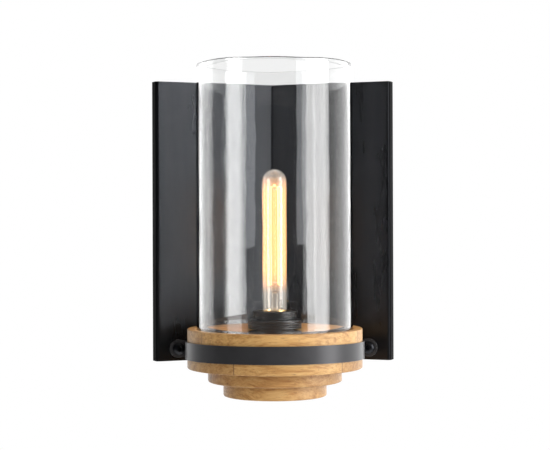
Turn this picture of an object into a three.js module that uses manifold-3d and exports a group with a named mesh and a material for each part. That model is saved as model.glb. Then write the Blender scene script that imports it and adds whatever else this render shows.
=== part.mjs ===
// Wall sconce: a stepped wooden base in a V-shaped steel plate, and a glass cylinder round a tubular lamp.
// Millimetres, +Z up. The origin is the middle of the wall bracket's rear face, and +Y points into the wall.
// Inside the group "lamp" the origin is on the lamp's axis, at the top of the wood.

import * as THREE from "three";
import { mergeVertices } from "three/addons/utils/BufferGeometryUtils.js";
import Module from "manifold-3d";

const wasm = await Module();
wasm.setup();

// ---- Driving dimensions ----

const gap = 0.3; // left between pieces that touch
const sides = { large: 48, medium: 24, small: 12, wire: 5 }; // flat sides that stand for a full turn

// Wood base: heights are measured down from the top of the upper disc
const drumRadius = 94;
const discThickness = 21;
const middleDisc = { radius: 72, thickness: 14.7 };
const bottomDisc = { radius: 55.5, thickness: 15.25 };
const woodRound = 1.4;
const socketBore = 22;
const pocketDepth = 9;
const screwCircle = 42; // of the long screws that hold the discs together
const counterbore = { radius: 5.3, depth: 5 };
const nutPocket = { radius: 12, depth: 8 };
const groove = { inner: 80.2, outer: 85, depth: 4 };

// Back plate: one sheet, folded along its middle and at both sides
const wingAngle = THREE.MathUtils.degToRad(22.5);
const plate = { thickness: 2, height: 310, bottom: -40, wing: 139, lip: 12, bend: 1.5 };
const wallGap = 20; // from the rear of the fold to the wall

// Glass cylinder
const glass = { radius: 84.3, wall: 3.5, top: 284 };
const seatRing = { inner: 80.8, outer: 84.4, thickness: 1 };

// Strap and its bolts
const strap = { height: 18.5, thickness: 2, top: -11.6, slope: 0.022, legSlope: 0.061, bend: 1.4 };
const ear = { radius: 10.25, fromFold: 115.3 };
const bolt = { shank: 4, hole: 4.3, head: 7, headHeight: 4.2, hex: 5, hexDepth: 2.6, reach: 12.5 };
const boltNut = { acrossFlats: 13, height: 6.5 };
const boltWasher = { radius: 8, thickness: 1.6 };

// Socket
const flange = { radius: 29, top: 10, hole: 20.6, wall: 1.8 };
const body = { radius: 20, bottom: -18, ring: 23.5, top: 19, bore: 14.4, floor: -10 };
const nipple = { outer: 4.8, inner: 3.2, top: -20, bottom: -41 };

// Screw thread of the lamp: seven turns to the inch
const thread = { pitch: 25.4 / 7, radius: 12.6, depth: 0.45, clearance: 0.4 };

// Lamp
const tube = { radius: 12.9, collar: 12.2, neck: 11.3, wall: 0.8, top: 171 };
const filament = { ring: 7.5, wire: 0.3, low: 47, high: 151, strands: 6 };

// Wiring box and wall bracket
const box = { halfWidth: 55, wall: 1.5, bottom: -38, top: 186, lip: 8 };
const bracket = { halfWidth: 53, height: 24, thickness: 1.6, leg: 14, z: 110, slot: 44.45, hole: 2.3 };
const block = { x: 43, width: 20, depth: 16, bottom: 40, height: 22, pole: 5, fromWall: 16 };
const lead = { radius: 1.2, z: -25.5, spread: 1.6 };

// Worked out from those
const foldFront = (drumRadius + gap) / Math.cos(wingAngle); // front of the fold, behind the lamp's axis
const foldRear = foldFront + plate.thickness / Math.cos(wingAngle);
const wallY = foldRear + wallGap;
const touch = foldFront * Math.sin(wingAngle); // along a wing, from the fold to where the drum touches it
const lowerDiscTop = -discThickness - gap / 2;
const middleTop = -2 * discThickness;
const bottomTop = middleTop - middleDisc.thickness;
const woodBottom = bottomTop - bottomDisc.thickness;
const X = new THREE.Vector3(1, 0, 0);
const Z = new THREE.Vector3(0, 0, 1);

// ---- Geometry helpers ----

function welded(geometry) {
  const bare = geometry.clone();
  bare.deleteAttribute("normal");
  bare.deleteAttribute("uv");
  return mergeVertices(bare, 1e-4);
}

function solid(geometry) {
  const { attributes, index } = welded(geometry);
  const triVerts = Uint32Array.from(index.array);
  const vertProperties = attributes.position.array;
  return new wasm.Manifold(new wasm.Mesh({ numProp: 3, vertProperties, triVerts }));
}

function geometryOf(manifold) {
  const { vertProperties, triVerts } = manifold.getMesh();
  const geometry = new THREE.BufferGeometry();
  geometry.setAttribute("position", new THREE.BufferAttribute(vertProperties, 3));
  geometry.setIndex(new THREE.BufferAttribute(triVerts, 1));
  return geometry;
}

function cut(geometry, ...tools) {
  return geometryOf(tools.reduce((left, tool) => left.subtract(solid(tool)), solid(geometry)));
}

function join(geometry, ...others) {
  return geometryOf(others.reduce((sum, other) => sum.add(solid(other)), solid(geometry)));
}

// A profile of [radius, height] pairs, from the bottom up its outside, turned about Z.
function turned(profile, segments = sides.medium) {
  const points = profile.map(([radius, height]) => new THREE.Vector2(radius, height));
  return new THREE.LatheGeometry(points, segments).rotateX(Math.PI / 2);
}

// A solid ring, or a tube, from one height to another.
function ring(inner, outer, low, high, segments = sides.medium) {
  return turned([[inner, low], [outer, low], [outer, high], [inner, high], [inner, low]], segments);
}

// A round bar from one point to another.
function bar(radius, from, to, segments = sides.small) {
  const along = to.clone().sub(from);
  const geometry = new THREE.CylinderGeometry(radius, radius, along.length(), segments);
  geometry.rotateX(Math.PI / 2);
  geometry.applyQuaternion(new THREE.Quaternion().setFromUnitVectors(Z, along.normalize()));
  const middle = from.clone().add(to).multiplyScalar(0.5);
  return geometry.translate(middle.x, middle.y, middle.z);
}

function hexPrism(acrossFlats, low, high) {
  const radius = acrossFlats / Math.sqrt(3);
  const prism = new THREE.CylinderGeometry(radius, radius, high - low, 6).rotateX(Math.PI / 2);
  return prism.translate(0, 0, (low + high) / 2);
}

// A block whose length runs along a turned direction in the XY plane, from one distance to another.
function slotAlong(angle, near, far, width, low, high) {
  const geometry = new THREE.BoxGeometry(far - near, width, high - low);
  return geometry.translate((near + far) / 2, 0, (low + high) / 2).rotateZ(angle);
}

// Points along the rounded edge of a turned disc: a quarter circle about [radius, height].
function quarter(radius, height, size, from, steps = 2) {
  return Array.from({ length: steps + 1 }, (_, i) => {
    const angle = from + (i / steps) * (Math.PI / 2);
    return [radius + size * Math.cos(angle), height + size * Math.sin(angle)];
  });
}

// The outline of a sheet or bar bent along corners [x, y, centre-line radius], seen along the bends.
function bentOutline(corners, thickness) {
  const points = corners.map(([x, y]) => new THREE.Vector2(x, y));
  const centreLine = [];
  const direction = (i) => points[i + 1].clone().sub(points[i]).normalize();
  const add = (point, along) => centreLine.push({ point, normal: new THREE.Vector2(-along.y, along.x) });
  add(points[0], direction(0));
  for (let i = 1; i < points.length - 1; i++) {
    const before = direction(i - 1);
    const after = direction(i);
    const turn = Math.atan2(before.cross(after), before.dot(after));
    const radius = corners[i][2];
    const start = points[i].clone().addScaledVector(before, -radius * Math.tan(Math.abs(turn) / 2));
    const inwards = new THREE.Vector2(-before.y, before.x).multiplyScalar(Math.sign(turn));
    const centre = start.clone().addScaledVector(inwards, radius);
    const steps = Math.max(3, Math.ceil(Math.abs(turn) / (radius > 20 ? 0.09 : 0.4)));
    for (let k = 0; k <= steps; k++) {
      const angle = (turn * k) / steps;
      const along = before.clone().rotateAround(new THREE.Vector2(), angle);
      add(start.clone().rotateAround(centre, angle), along);
    }
  }
  add(points.at(-1), direction(points.length - 2));
  const side = (distance) =>
    centreLine.map(({ point, normal }) => point.clone().addScaledVector(normal, distance));
  return new THREE.Shape([...side(-thickness / 2), ...side(thickness / 2).reverse()]);
}

function extruded(shape, low, high) {
  return new THREE.ExtrudeGeometry(shape, { depth: high - low, bevelEnabled: false }).translate(0, 0, low);
}

// A wire or lead along a smooth curve through points.
function wire(points, radius, steps) {
  const section = new THREE.Shape();
  for (let i = 0; i < sides.wire; i++) {
    const angle = (i / sides.wire) * Math.PI * 2;
    section[i ? "lineTo" : "moveTo"](radius * Math.cos(angle), radius * Math.sin(angle));
  }
  const extrudePath = new THREE.CatmullRomCurve3(points, false, "centripetal");
  return new THREE.ExtrudeGeometry(section, { steps, bevelEnabled: false, extrudePath });
}

// Winds a screw thread into a turned shape between two heights. At both ends it runs out to its root,
// which is inwards (-1) on the lamp and outwards (1) in the shell round it.
function threaded(geometry, low, high, root) {
  const place = geometry.attributes.position;
  for (let i = 0; i < place.count; i++) {
    const [x, y, z] = [place.getX(i), place.getY(i), place.getZ(i)];
    const inside = Math.min(z - low, high - z) / (thread.pitch / 2);
    const fade = THREE.MathUtils.smoothstep(inside, 0, 1);
    const wave = Math.cos((2 * Math.PI * z) / thread.pitch - Math.atan2(y, x));
    const radius = Math.hypot(x, y);
    const inThread = z > low - 0.01 && z < high + 0.01;
    const scale = inThread ? (radius + thread.depth * (fade * wave + (1 - fade) * root)) / radius : 1;
    place.setXY(i, x * scale, y * scale);
  }
  return geometry;
}

// Evenly spaced [radius, height] pairs up or down a straight wall.
function wall(radius, from, to, steps) {
  return Array.from({ length: steps + 1 }, (_, i) => [radius, from + ((to - from) * i) / steps]);
}

// ---- Places on the wings: side is 1 for the right wing and -1 for the left ----

const wingDirection = (side) => new THREE.Vector3(side * Math.cos(wingAngle), -Math.sin(wingAngle), 0);
const wingNormal = (side) => new THREE.Vector3(-side * Math.sin(wingAngle), -Math.cos(wingAngle), 0);

// A point at a distance from the fold, at a height, and proud of the wing's front face.
function onWing(side, distance, z, proud) {
  const point = new THREE.Vector3(0, foldFront, z);
  return point.addScaledVector(wingDirection(side), distance).addScaledVector(wingNormal(side), proud);
}

// A point given by its distance from the axis towards the right wing, how far it is aside, and its height.
function towardsWing(distance, aside, z) {
  const point = new THREE.Vector3(0, 0, z);
  return point.addScaledVector(wingNormal(1), -distance).addScaledVector(wingDirection(1), aside);
}

// ---- Scene ----

const lamp = new THREE.Group();
lamp.position.set(0, -wallY, -bracket.z);
const part = new THREE.Group();
part.add(lamp);

const finish = (color, roughness, metalness, opacity = 1) => () =>
  new THREE.MeshStandardMaterial({ color, roughness, metalness, opacity, transparent: opacity < 1 });
const blackSteel = finish(0x26272b, 0.45, 0.7);
const zincSteel = finish(0xa8a9a6, 0.4, 0.9);
const wood = finish(0xc09a66, 0.6, 0);
const clearGlass = finish(0xe8efec, 0.05, 0, 0.3);
const brass = finish(0xc9a24c, 0.3, 0.95);
const blackPlastic = finish(0x1c1c1d, 0.35, 0);
const palePlastic = finish(0xd9d5ca, 0.5, 0);
const felt = finish(0x4a4641, 0.95, 0);
const glowing = finish(0xffc46b, 0.5, 0.2);

function add(name, geometry, material, position = new THREE.Vector3(), facing = Z) {
  const mesh = new THREE.Mesh(welded(geometry), material());
  mesh.name = name;
  mesh.position.copy(position);
  mesh.quaternion.setFromUnitVectors(Z, facing);
  lamp.add(mesh);
  return mesh;
}

const hands = [["left", -1], ["right", 1]];
const legScrewY = wallY - 8; // screws through the wiring box into the bracket's legs
const blockY = wallY - block.fromWall;
const blockScrewY = blockY - 5.2;
const blockScrewZ = block.bottom + block.height / 2;

// How far the strap has sunk at a distance behind the lamp's axis: its legs fall more steeply than its front.
const strapFall = (y) => strap.slope * (y + drumRadius) + (strap.legSlope - strap.slope) * Math.max(0, y);
const earZ = strap.top - strap.height / 2 - strapFall(onWing(1, ear.fromFold, 0, gap).y);
const plateScrewZ = -discThickness / 2;

// ---- Back plate ----

function backPlate() {
  const half = plate.thickness / 2;
  const fold = foldFront + half / Math.cos(wingAngle);
  const edge = (side) => onWing(side, plate.wing, 0, -half);
  const lipEnd = (side) => edge(side).addScaledVector(wingNormal(side), -plate.lip);
  const radius = plate.bend + half;
  const corners = [
    [lipEnd(-1).x, lipEnd(-1).y],
    [edge(-1).x, edge(-1).y, radius],
    [0, fold, 2 * radius],
    [edge(1).x, edge(1).y, radius],
    [lipEnd(1).x, lipEnd(1).y],
  ];
  const sheet = extruded(bentOutline(corners, plate.thickness), plate.bottom, plate.bottom + plate.height);
  const hole = (side, distance, z, size) =>
    bar(size, onWing(side, distance, z, 5), onWing(side, distance, z, -8), 24);
  const holes = hands.flatMap(([, side]) => [
    hole(side, ear.fromFold, earZ, bolt.hole),
    hole(side, touch, plateScrewZ, 2.3),
  ]);
  add("back_plate", cut(sheet, ...holes, hole(1, touch, lead.z, 5)), blackSteel);
}

// ---- Wood base ----

const leadAngle = Math.PI / 2 - wingAngle; // from the axis square on to the right wing
const screwAngles = [60, 180, 300].map((degrees) => leadAngle + THREE.MathUtils.degToRad(degrees));
const onScrewCircle = (angle, z) => new THREE.Vector3(screwCircle, 0, z).applyAxisAngle(Z, angle);
const stackHoles = (low, high) =>
  screwAngles.map((angle) => bar(2.5, onScrewCircle(angle, low), onScrewCircle(angle, high)));

// A turned disc with rounded edges. The inner profile runs down from the top face to the bottom face.
function disc(radius, top, bottom, inner = [[0, top], [0, bottom]]) {
  const r = woodRound;
  const lower = quarter(radius - r, bottom + r, r, -Math.PI / 2);
  const upper = quarter(radius - r, top - r, r, 0);
  return turned([inner.at(-1), ...lower, ...upper, ...inner], sides.large);
}

function woodBase() {
  const upperBottom = -discThickness + gap / 2;
  const grooveAndBore = [
    [groove.outer, 0],
    [groove.outer, -groove.depth],
    [groove.inner, -groove.depth],
    [groove.inner, 0],
    [socketBore, 0],
    [socketBore, upperBottom],
  ];
  const plateScrewHoles = hands.map(([, side]) =>
    bar(2.3, onWing(side, touch, plateScrewZ, -1), onWing(side, touch, plateScrewZ, 27)));
  const upper = disc(drumRadius, 0, upperBottom, grooveAndBore);
  add("base_disc_upper", cut(upper, ...plateScrewHoles, ...stackHoles(-30, -11)), wood);

  const lowerBottom = middleTop + gap / 2;
  const pocket = lowerDiscTop - pocketDepth;
  const nutFloor = middleTop + nutPocket.depth;
  const pocketAndNipple = [
    [socketBore, lowerDiscTop],
    [socketBore, pocket],
    [nipple.outer + gap, pocket],
    [nipple.outer + gap, nutFloor],
    [nutPocket.radius, nutFloor],
    [nutPocket.radius, lowerBottom],
  ];
  const leadSlot = slotAlong(leadAngle, socketBore - 4, drumRadius + 6, 8, pocket, lowerDiscTop + 5);
  const lower = disc(drumRadius, lowerDiscTop, lowerBottom, pocketAndNipple);
  add("base_disc_lower", cut(lower, leadSlot, ...stackHoles(-50, -10)), wood);

  const middle = disc(middleDisc.radius, middleTop - gap / 2, bottomTop + gap / 2);
  add("step_disc_middle", cut(middle, ...stackHoles(-60, -40)), wood);

  const counterboreTop = woodBottom + counterbore.depth;
  const bottom = disc(bottomDisc.radius, bottomTop - gap / 2, woodBottom);
  const counterbores = screwAngles.map((angle) =>
    bar(counterbore.radius, onScrewCircle(angle, woodBottom - 5), onScrewCircle(angle, counterboreTop), 20));
  add("step_disc_bottom", cut(bottom, ...counterbores, ...stackHoles(-80, -50)), wood);
}

// A wood screw with its head upwards: the head's underside is at 0 and the point is below.
function woodScrew(shank, length, head, headHeight) {
  const profile = [[0, -length], [shank, -length + 2.5 * shank], [shank, 0], [head, 0], [head, headHeight / 2]];
  const dome = [[0.75 * head, headHeight], [0, headHeight]];
  const slot = new THREE.BoxGeometry(2.2 * head, 1, headHeight / 2).translate(0, 0, headHeight);
  return cut(turned([...profile, ...dome], sides.small), slot);
}

function baseScrews() {
  const seat = woodBottom + counterbore.depth - gap;
  const point = -12; // height of the screws' points, in the upper disc
  screwAngles.forEach((angle, i) => {
    const screw = woodScrew(2.2, point - seat, 5, 3);
    add(`stack_screw_${i + 1}`, screw, zincSteel, onScrewCircle(angle, seat), Z.clone().negate());
  });
  for (const [name, side] of hands) {
    const place = onWing(side, touch, plateScrewZ, -plate.thickness - gap);
    add(`plate_screw_${name}`, woodScrew(2, 28, 4, 3), zincSteel, place, wingNormal(side).negate());
  }
}

// ---- Strap ----

function strapBand() {
  const half = strap.thickness / 2;
  const side = drumRadius + gap + half;
  const bendAt = (side + (gap + half) * Math.sin(wingAngle)) / Math.cos(wingAngle);
  const legEnd = (s, distance) => onWing(s, distance, 0, gap + half);
  const radius = strap.bend + half;
  const corners = [
    [legEnd(-1, ear.fromFold).x, legEnd(-1, ear.fromFold).y],
    [-side, legEnd(-1, bendAt).y, radius],
    [-side, -side, side],
    [side, -side, side],
    [side, legEnd(1, bendAt).y, radius],
    [legEnd(1, ear.fromFold).x, legEnd(1, ear.fromFold).y],
  ];
  const band = extruded(bentOutline(corners, strap.thickness), strap.top - strap.height, strap.top);
  const place = band.attributes.position;
  for (let i = 0; i < place.count; i++) place.setZ(i, place.getZ(i) - strapFall(place.getY(i)));
  const across = (s, size, near, far) =>
    bar(size, onWing(s, ear.fromFold, earZ, near), onWing(s, ear.fromFold, earZ, far), sides.medium);
  const ears = [-1, 1].map((s) => across(s, ear.radius, gap + 0.05, gap + strap.thickness - 0.05));
  const holes = [-1, 1].map((s) => across(s, bolt.hole, -3, 8));
  add("strap", cut(join(band, ...ears), ...holes), blackSteel);
}

function strapBolts() {
  const underHead = strap.thickness + 2 * gap;
  const length = underHead + bolt.reach;
  const { shank, head, headHeight } = bolt;
  const crown = [[0.9 * head, 2.3], [0.7 * head, 3.5], [0.48 * head, headHeight], [0, headHeight]];
  const dome = [[head, 0], [head, 0.9], ...crown];
  const button = turned([[0, -length], [shank - 0.6, -length], [shank, 0.6 - length], [shank, 0], ...dome], 20);
  const boltShape = cut(button, hexPrism(bolt.hex, headHeight - bolt.hexDepth, headHeight + 1));
  const nutBore = bar(bolt.hole, Z.clone().negate(), Z.clone().multiplyScalar(9), 20);
  const nutShape = cut(hexPrism(boltNut.acrossFlats, 0, boltNut.height), nutBore);
  const washerShape = ring(bolt.hole, boltWasher.radius, -boltWasher.thickness, 0);
  const behind = -plate.thickness - gap;
  for (const [name, side] of hands) {
    const at = (proud) => onWing(side, ear.fromFold, earZ, proud);
    const front = wingNormal(side);
    add(`strap_bolt_${name}`, boltShape, blackSteel, at(underHead), front);
    add(`strap_washer_${name}`, washerShape, zincSteel, at(behind), front);
    const nutTop = behind - boltWasher.thickness - gap - boltNut.height;
    add(`strap_nut_${name}`, nutShape, zincSteel, at(nutTop), front);
  }
}

// ---- Glass cylinder and its seat ----

function glassCylinder() {
  const inner = glass.radius - glass.wall;
  const low = -groove.depth + seatRing.thickness + 2 * gap;
  const edge = 0.8;
  const profile = [
    [inner + edge, low], [glass.radius - edge, low], [glass.radius, low + edge],
    [glass.radius, glass.top - edge], [glass.radius - edge, glass.top],
    [inner + edge, glass.top], [inner, glass.top - edge], [inner, low + edge], [inner + edge, low],
  ];
  add("glass_cylinder", turned(profile, sides.large), clearGlass);
  const ringLow = -groove.depth + gap;
  const ringTop = ringLow + seatRing.thickness;
  add("glass_seat_ring", ring(seatRing.inner, seatRing.outer, ringLow, ringTop, sides.large), felt);
}

// ---- Socket ----

function socket() {
  const { radius, top, hole, wall: thick } = flange;
  const yokeScrewAside = 10;
  add("socket_flange", turned([
    [radius - thick, gap], [radius, gap], [radius, top - 1], [radius - 1, top], [hole, top],
    [hole, top - thick], [radius - thick, top - thick], [radius - thick, gap],
  ], 36), blackPlastic);

  const under = top + gap;
  const mouth = [[body.ring - 1.5, body.top], [body.bore + 2, body.top], [body.bore, body.top - 2]];
  const outside = [[0, body.bottom], [body.radius, body.bottom], [body.radius, under], [body.ring, under]];
  const profile = [...outside, [body.ring, body.top - 1.5], ...mouth, [body.bore, body.floor], [0, body.floor]];
  const drilled = (size, out, aside, low, high) =>
    bar(size, towardsWing(out, aside, low), towardsWing(out, aside, high));
  const yokeHoles = (low, high) => [-1, 1].map((s) => drilled(1.8, 0, yokeScrewAside * s, low, high));
  const leadHoles = [-3, 3].map((aside) => drilled(1.6, 12, aside, body.bottom - 1, body.bottom + 5));
  const holes = [...leadHoles, ...yokeHoles(body.bottom - 1, body.bottom + 6)];
  add("socket_body", cut(turned(profile, 28), ...holes), blackPlastic);

  // The shell's own thread is wider than the lamp's by the clearance all round.
  const inner = thread.radius + thread.clearance;
  const outer = inner + 0.45;
  const [low, high] = [body.floor + 1.8, 13];
  const steps = Math.round((3.6 * (high - low)) / thread.pitch);
  const shell = turned([[inner, low], ...wall(outer, low, high, steps), ...wall(inner, high, low, steps)], 18);
  add("socket_shell", threaded(shell, low, high, 1), brass);

  const stripZ = body.floor + 0.9;
  const strip = bentOutline([[-9, stripZ], [-3, stripZ, 1.5], [1, stripZ + 1, 1.5], [5, stripZ + 1]], 0.6);
  add("socket_contact", extruded(strip, -3, 3).rotateX(Math.PI / 2), brass);

  const plateTop = body.bottom - gap;
  const plateBottom = plateTop - 1.5;
  const hubBottom = -27;
  const bore = nipple.outer + gap;
  const hub = [[bore, hubBottom], [7, hubBottom], [7, plateBottom], [17, plateBottom], [17, plateTop]];
  const yoke = turned([...hub, [bore, plateTop], [bore, hubBottom]]);
  const notch = slotAlong(leadAngle, 9, 20, 11, plateTop - 4, plateTop + 1);
  add("socket_yoke", cut(yoke, notch, ...yokeHoles(plateBottom - 1, plateTop + 1)), zincSteel);
  [-1, 1].forEach((s, i) => {
    const place = towardsWing(0, yokeScrewAside * s, plateBottom - gap);
    add(`yoke_screw_${i + 1}`, woodScrew(1.5, 6, 2.6, 1.8), zincSteel, place, Z.clone().negate());
  });

  add("socket_nipple", ring(nipple.inner, nipple.outer, nipple.bottom, nipple.top, 20), brass);
  const nutRoof = middleTop + nutPocket.depth;
  const washer = { radius: 10, thickness: 1.2 };
  const washerLow = nutRoof - gap - washer.thickness;
  add("nipple_washer", ring(bore, washer.radius, washerLow, washerLow + washer.thickness, 20), zincSteel);
  const nutHigh = washerLow - gap;
  const nutBore = bar(bore, new THREE.Vector3(0, 0, nutHigh - 6), new THREE.Vector3(0, 0, nutHigh + 2), 20);
  add("nipple_nut", cut(hexPrism(14, nutHigh - 4, nutHigh), nutBore), brass);
}

// ---- Lamp: everything here screws out as one ----

function bulb() {
  const { radius, collar, neck, wall: thick, top } = tube;
  const skin = 0.35;
  const rim = 19.8;
  const [low, high] = [-3.4, 15.4];
  const steps = Math.round((3.6 * (high - low)) / thread.pitch);
  const outer = thread.radius;
  const [foot, shoulder, cuff] = [low - 1.2, high + 0.8, outer + skin];
  const outside = [[10, foot], ...wall(outer, low, high, steps), [cuff, shoulder], [cuff, rim]];
  const threadInside = wall(outer - skin, high, low + 0.3, steps);
  const inside = [[outer, rim], [outer, shoulder], ...threadInside, [10, foot + 0.4], [10, foot]];
  add("bulb_base", threaded(turned([...outside, ...inside], 18), low, high, -1), brass);

  const discTop = foot - gap;
  const discBottom = discTop - 1.4;
  add("bulb_insulator", ring(1.6, 9.6, discBottom, discTop, 20), blackPlastic);
  const tipTop = discBottom - gap;
  const tip = [[0, tipTop - 1], [2.6, tipTop - 0.8], [3.4, tipTop - 0.2], [3.4, tipTop], [0, tipTop]];
  add("bulb_tip", turned(tip, sides.small), zincSteel);

  const dome = (size) => quarter(0, top - radius, size, 0, 5).slice(1, -1);
  const innerRadius = radius - thick;
  const neckOutside = [[neck, 6], [neck, 15], [collar, 17], [collar, rim], [radius, rim + 1.5]];
  const neckInside = neckOutside.map(([r, z]) => [r - thick, z]).reverse();
  const domeInside = [...dome(innerRadius).reverse(), [innerRadius, top - radius]];
  const tubeOutside = [...neckOutside, [radius, top - radius], ...dome(radius), [0, top]];
  const tubeInside = [[0, top - thick], ...domeInside, ...neckInside, neckOutside[0]];
  add("bulb_glass", turned([...tubeOutside, ...tubeInside], 24), clearGlass);

  const stem = [[0, 6], [10.1, 6], [10.1, 8], [6, 11], [4, 17], [3.4, 34], [2.2, 40], [0, 40]];
  add("bulb_stem", turned(stem, 16), clearGlass);
  const lowerCollar = [[1, 44], [2.2, 44.6], [2.2, 47], [1, 47.6]];
  const crown = [[1, 150], [2.2, 150.6], [2.2, 154], [1.4, 155], [0, 155]];
  add("bulb_rod", turned([[0, 40.3], [1, 40.3], ...lowerCollar, ...crown], 8), clearGlass);
  filamentAndHooks();
}

function filamentAndHooks() {
  const { ring: reach, wire: thick, low, high, strands } = filament;
  const strand = (i, z) => {
    const angle = ((i + 0.5) / strands) * 2 * Math.PI;
    return new THREE.Vector3(reach * Math.sin(angle), -reach * Math.cos(angle), z);
  };
  const points = [];
  for (let i = 0; i < strands; i++) {
    const heights = [low, low + 1.5, low + 20, (low + high) / 2, high - 20, high - 1.5, high];
    const ordered = i % 2 ? heights.reverse() : heights;
    points.push(...ordered.slice(i ? 1 : 0, i < strands - 1 ? -1 : undefined).map((z) => strand(i, z)));
    if (i < strands - 1) points.push(strand(i + 0.5, i % 2 ? low - 0.8 : high + 0.8));
  }
  add("bulb_filament", wire(points, thick, 116), glowing);

  // Wire hooks stand out from the rod's two collars, just inside the turns of the filament.
  const onAxis = (z) => new THREE.Vector3(0, 0, z);
  const drawnIn = (point, share) => point.multiply(new THREE.Vector3(share, share, 1));
  const hook = (i, z) => bar(0.25, onAxis(z), drawnIn(strand(i, z), 0.9), sides.wire);
  const hub = (z) => ring(1.3, 3, z - 0.6, z + 0.6, 8);
  const spider = (z, turns) =>
    cut(join(hub(z), ...turns.map((i) => hook(i, z))), bar(1.3, onAxis(z - 2), onAxis(z + 2), 8));
  add("filament_hooks_upper", spider(149, [0.5, 2.5, 4.5]), zincSteel);
  add("filament_hooks_lower", spider(49, [1.5, 3.5]), zincSteel);
  for (const [name, i] of [["left", 0], ["right", strands - 1]]) {
    const foot = drawnIn(strand(i, 14), 0.8);
    const route = [foot, foot.clone().setZ(36), strand(i, low - 2.6)];
    add(`filament_lead_${name}`, wire(route, 0.3, 8), zincSteel);
  }
}

// ---- Wiring box, wall bracket and leads ----

function wiringBox() {
  const { halfWidth, wall: thick, bottom, top, lip } = box;
  const rearOfFold = foldRear + gap / Math.cos(wingAngle);
  const front = (x) => rearOfFold - Math.abs(x) * Math.tan(wingAngle);
  const corner = (x, y) => new THREE.Vector2(x, y);
  const shape = new THREE.Shape([
    corner(halfWidth, front(halfWidth)),
    corner(halfWidth, wallY),
    corner(-halfWidth, wallY),
    corner(-halfWidth, front(halfWidth)),
    corner(0, rearOfFold),
  ]);
  const inner = halfWidth - thick;
  const inside = new THREE.BoxGeometry(2 * inner, 120, top - bottom - 2 * thick);
  inside.translate(0, wallY - 30, (top + bottom) / 2);
  const frame = cut(extruded(shape, bottom, top), inside);
  const lipBox = (z) => new THREE.BoxGeometry(2 * inner + 1, thick, lip).translate(0, wallY - thick / 2, z);
  const joined = join(frame, lipBox(bottom + thick + lip / 2 - 0.5), lipBox(top - thick - lip / 2 + 0.5));
  const sideHole = (side, y, z, size) =>
    bar(
      size,
      new THREE.Vector3(side * (halfWidth - 10), y, z),
      new THREE.Vector3(side * (halfWidth + 10), y, z),
    );
  const holes = [-1, 1].map((side) => sideHole(side, legScrewY, bracket.z, bracket.hole));
  add("wiring_box", cut(joined, ...holes, sideHole(1, blockScrewY, blockScrewZ, 1.7)), blackSteel);
}

function wallBracket() {
  const { halfWidth, height, thickness, leg, z, slot } = bracket;
  const half = thickness / 2;
  const corners = [
    [-halfWidth + half, wallY - leg],
    [-halfWidth + half, wallY - half, 2],
    [halfWidth - half, wallY - half, 2],
    [halfWidth - half, wallY - leg],
  ];
  const strip = extruded(bentOutline(corners, thickness), z - height / 2, z + height / 2);
  const hole = (from, to) => bar(bracket.hole, from, to);
  const rearHole = (x) => hole(new THREE.Vector3(x, wallY - 5, z), new THREE.Vector3(x, wallY + 5, z));
  const slots = [-1, 1].flatMap((s) => [
    rearHole(s * slot - 2.4),
    rearHole(s * slot + 2.4),
    new THREE.BoxGeometry(4.8, 10, 2 * bracket.hole).translate(s * slot, wallY, z),
  ]);
  const legHoles = [-1, 1].map((s) =>
    hole(new THREE.Vector3(s * 45, legScrewY, z), new THREE.Vector3(s * 60, legScrewY, z)));
  const groundX = -22;
  add("wall_bracket", cut(strip, ...slots, ...legHoles, rearHole(groundX)), zincSteel);

  const panScrew = (length, head) => {
    const profile = [[0, -length], [2, -length], [2, 0], [head, 0], [head, 1.4], [0.7 * head, 2.4], [0, 2.4]];
    return cut(turned(profile, sides.small), new THREE.BoxGeometry(2.2 * head, 1, 1.4).translate(0, 0, 2.5));
  };
  for (const [name, side] of hands) {
    const place = new THREE.Vector3(side * (box.halfWidth + gap), legScrewY, z);
    add(`box_screw_${name}`, panScrew(9, 3.8), blackSteel, place, X.clone().multiplyScalar(side));
  }
  const ground = new THREE.Vector3(groundX, wallY - thickness - gap, z);
  add("ground_screw", panScrew(1.7, 4.4), brass, ground, new THREE.Vector3(0, -1, 0));
}

function terminalBlock() {
  const { x, width, depth, bottom, height, pole } = block;
  const poles = [x - pole, x + pole];
  const levels = [bottom + 5, bottom + height - 5];
  const rear = blockY + depth / 2;
  const at = (px, y, z) => new THREE.Vector3(px, y, z);
  const wires = poles.map((px) => bar(1.6, at(px, blockY, bottom - 1), at(px, blockY, bottom + height + 1)));
  const screws = poles.flatMap((px) => levels.map((z) => [px, z]));
  const screwHoles = screws.map(([px, z]) => bar(2.1, at(px, blockY, z), at(px, rear + 1, z)));
  const side = x + width / 2;
  const sideHole = bar(1.7, at(side - 8, blockScrewY, blockScrewZ), at(side + 2, blockScrewY, blockScrewZ));
  const brick = new THREE.BoxGeometry(width, depth, height).translate(x, blockY, bottom + height / 2);
  add("terminal_block", cut(brick, ...wires, ...screwHoles, sideHole), palePlastic);
  const grubScrew = turned([[0, -5], [1.8, -5], [1.8, 0], [0, 0]], sides.small);
  const slotted = cut(grubScrew, new THREE.BoxGeometry(5, 0.7, 1.6));
  screws.forEach(([px, z], i) => {
    add(`terminal_screw_${i + 1}`, slotted, brass, at(px, rear - 0.6, z), new THREE.Vector3(0, 1, 0));
  });
  const place = at(box.halfWidth + gap, blockScrewY, blockScrewZ);
  add("block_screw", woodScrew(1.4, 9, 2.8, 2), zincSteel, place, X);
}

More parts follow.
